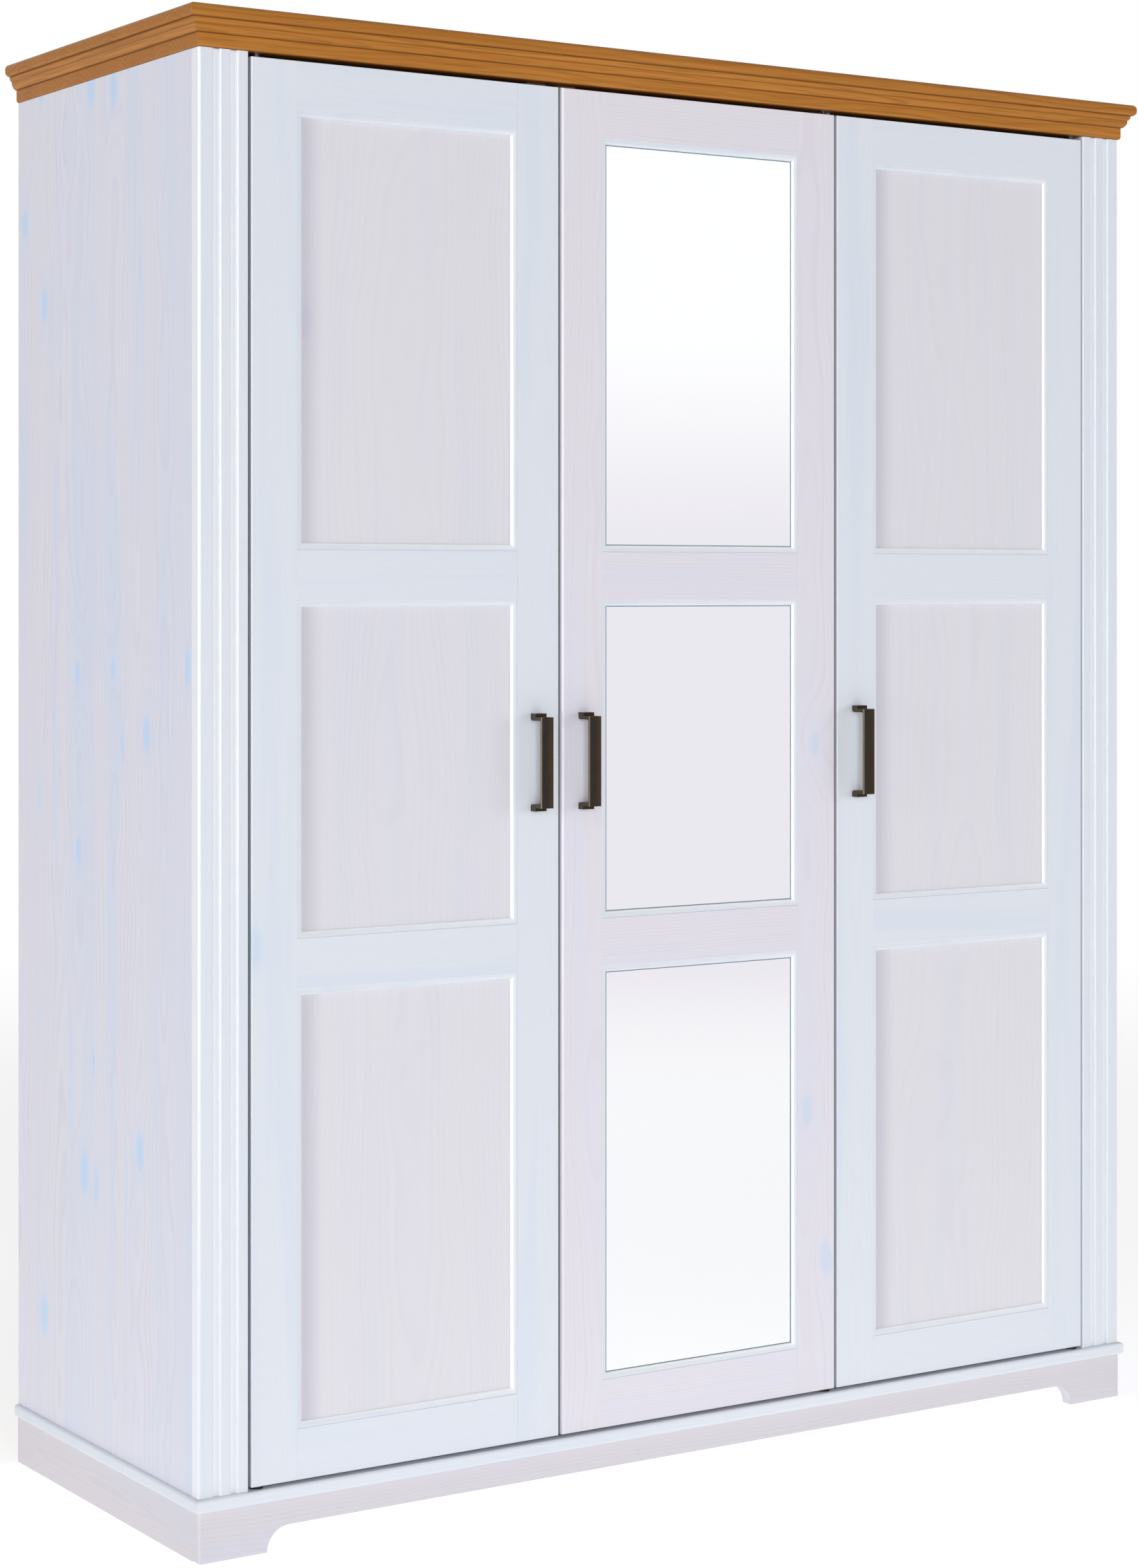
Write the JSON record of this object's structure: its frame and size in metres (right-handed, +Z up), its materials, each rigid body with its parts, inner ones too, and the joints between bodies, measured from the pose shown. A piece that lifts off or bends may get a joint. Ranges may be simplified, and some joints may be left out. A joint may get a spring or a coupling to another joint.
{
  "type": "wardrobe",
  "caption": "Free-standing wardrobe with hinged inset doors, mirrored in the middle, fluted pilasters, a moulded crown, a bracket-foot plinth and shelves and a rail inside.",
  "frame": {"origin": "middle of the bounding box, on the floor", "axes": "+Z up, the doors and handles face -Y, +X to the right seen from the front"},
  "size_m": [1.622, 0.608, 2],
  "materials": {
    "white_wood": "bluish white paint over pine, satin",
    "lilac_wood": "translucent whitewash over pine, satin",
    "honey_wood": "honey-stained pine, satin varnish",
    "raw_pine": "planed, unfinished",
    "hardboard": "white-faced hardboard, matt",
    "mirror": "silvered glass with ground edges",
    "bronze": "antique bronze with worn edges",
    "steel": "zinc plated",
    "nylon": "natural nylon",
    "white_plastic": "extruded, matt",
    "brown_plastic": "moulded, satin"
  },
  "bodies": {
    "cabinet": {"side_left": "lilac_wood", "side_right": "lilac_wood", "pilaster_left": "white_wood", "pilaster_right": "white_wood", "corner_posts": "raw_pine", "base_board": "white_wood", "plinth_front": "lilac_wood", "plinth_left": "lilac_wood", "plinth_right": "lilac_wood", "plinth_back": "raw_pine", "plinth_blocks": "raw_pine", "floor_glides": "nylon", "carcass_top": "honey_wood", "crown_moulding_front": "honey_wood", "crown_moulding_left": "honey_wood", "crown_moulding_right": "honey_wood", "crown_spacers": "raw_pine", "top_board": "honey_wood", "partition": "lilac_wood", "hat_shelf": "lilac_wood", "clothes_rail": "steel", "rail_sockets": "steel", "shelves": "lilac_wood", "shelf_pins": "steel", "back_left": "hardboard", "back_middle": "hardboard", "back_right": "hardboard", "back_joint_strip": "white_plastic", "back_nails": "steel", "dowels": "raw_pine", "magnetic_catches": "brown_plastic", "pivot_bushes": "brown_plastic"},
    "left_door": {"left_door_stile_left": "white_wood", "left_door_stile_right": "white_wood", "left_door_rails": "white_wood", "left_door_panels": "lilac_wood", "left_door_mouldings": "white_wood", "left_door_handle": "bronze", "left_door_handle_screws": "steel", "left_door_pivots": "bronze", "left_door_strike": "steel"},
    "middle_door": {"middle_door_stile_left": "lilac_wood", "middle_door_stile_right": "lilac_wood", "middle_door_rails": "lilac_wood", "middle_door_backs": "hardboard", "middle_door_mirrors": "mirror", "middle_door_mouldings": "white_wood", "middle_door_handle": "bronze", "middle_door_handle_screws": "steel", "middle_door_pivots": "bronze", "middle_door_strike": "steel"},
    "right_door": {"right_door_stile_left": "white_wood", "right_door_stile_right": "white_wood", "right_door_rails": "white_wood", "right_door_panels": "lilac_wood", "right_door_mouldings": "white_wood", "right_door_handle": "bronze", "right_door_handle_screws": "steel", "right_door_pivots": "bronze", "right_door_strike": "steel"}
  },
  "joints": [
    {"name": "left_door_hinge", "type": "hinge", "parent": "cabinet", "child": "left_door", "pos_m": [-0.702, -0.264, 0.083], "axis": [0, 0, -1], "range_deg": [0, 100]},
    {"name": "middle_door_hinge", "type": "hinge", "parent": "cabinet", "child": "middle_door", "pos_m": [0.22433, -0.264, 0.083], "axis": [0, 0, 1], "range_deg": [0, 100]},
    {"name": "right_door_hinge", "type": "hinge", "parent": "cabinet", "child": "right_door", "pos_m": [0.702, -0.264, 0.083], "axis": [0, 0, 1], "range_deg": [0, 100]}
  ]
}
